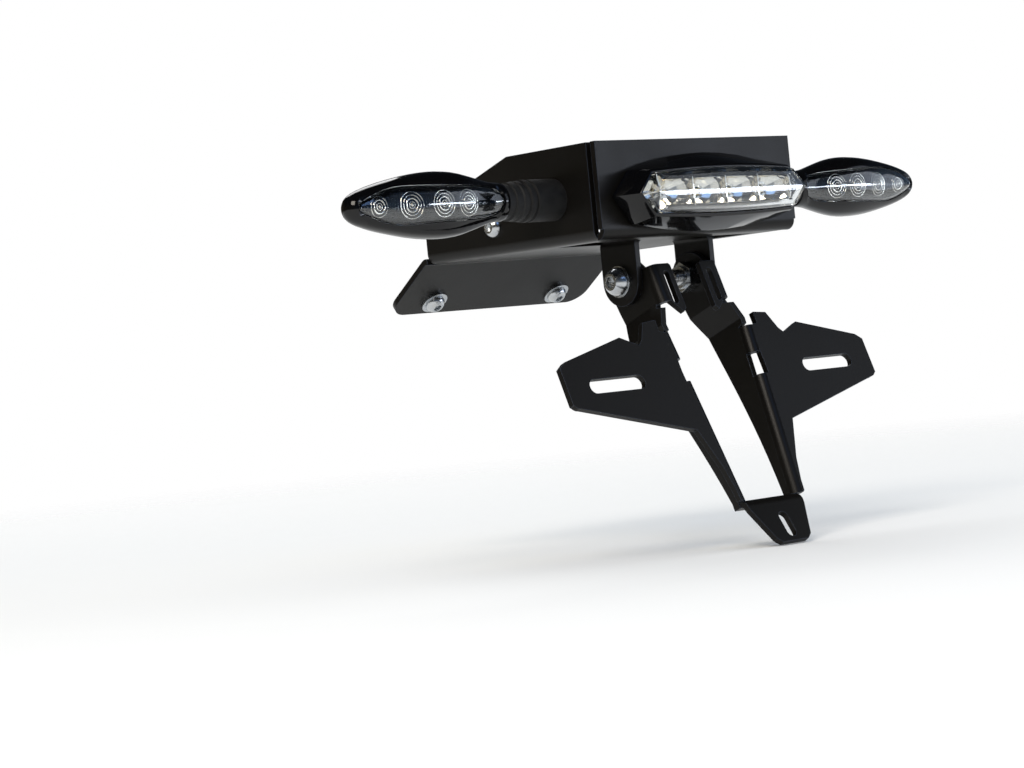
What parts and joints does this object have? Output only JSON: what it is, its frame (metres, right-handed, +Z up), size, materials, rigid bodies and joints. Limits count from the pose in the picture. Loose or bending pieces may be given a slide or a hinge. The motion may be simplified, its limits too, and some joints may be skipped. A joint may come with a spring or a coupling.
{
  "type": "motorcycle tail tidy",
  "caption": "Folded sheet tray with an LED tail lamp and two stalk indicators, carrying a winged number plate hanger that tilts on two pivot bolts.",
  "frame": {"origin": "middle of the seat on the upper face of the sloping front flange, midway between the two fixing bolts", "axes": "+X to the motorcycle's right, +Y forward, +Z up; the lamp faces -Y"},
  "size_m": [0.381, 0.208, 0.1949],
  "materials": {
    "powder_black": "satin powder coat",
    "zinc_steel": "bright zinc",
    "black_plastic": "gloss moulded",
    "clear_plastic": "clear moulded",
    "bright_reflector": "vacuum metallised",
    "circuit_board": "solder mask",
    "led": "moulded",
    "black_rubber": "matte moulded"
  },
  "bodies": {
    "carrier": {"tray": "powder_black", "pivot_bolt_left": "zinc_steel", "pivot_bolt_right": "zinc_steel", "pivot_washer_left": "zinc_steel", "pivot_washer_right": "zinc_steel", "pivot_nut_left": "zinc_steel", "pivot_nut_right": "zinc_steel", "fixing_bolt_left": "zinc_steel", "fixing_bolt_right": "zinc_steel", "fixing_washer_left": "zinc_steel", "fixing_washer_right": "zinc_steel", "side_bolt_left": "zinc_steel", "side_bolt_right": "zinc_steel", "side_nut_left": "zinc_steel", "side_nut_right": "zinc_steel", "lamp_nuts": "zinc_steel", "indicator_nut_left": "zinc_steel", "indicator_nut_right": "zinc_steel", "lamp_housing": "black_plastic", "indicator_housing_left": "black_plastic", "indicator_housing_right": "black_plastic", "lamp_lens": "clear_plastic", "indicator_lens_left": "clear_plastic", "indicator_lens_right": "clear_plastic", "lamp_reflector": "bright_reflector", "lamp_board": "circuit_board", "indicator_board_left": "circuit_board", "indicator_board_right": "circuit_board", "lamp_leds": "led", "indicator_leds_left": "led", "indicator_leds_right": "led", "lamp_gasket": "black_rubber", "wire_grommet": "black_rubber", "indicator_stalk_left": "black_rubber", "indicator_stalk_right": "black_rubber"},
    "hanger": {"plate_hanger": "powder_black"}
  },
  "joints": [
    {"name": "hanger_tilt", "type": "hinge", "parent": "carrier", "child": "hanger", "pos_m": [0, -0.12362, -0.00416], "axis": [1, 0, 0], "range_deg": [-15, 15]}
  ]
}
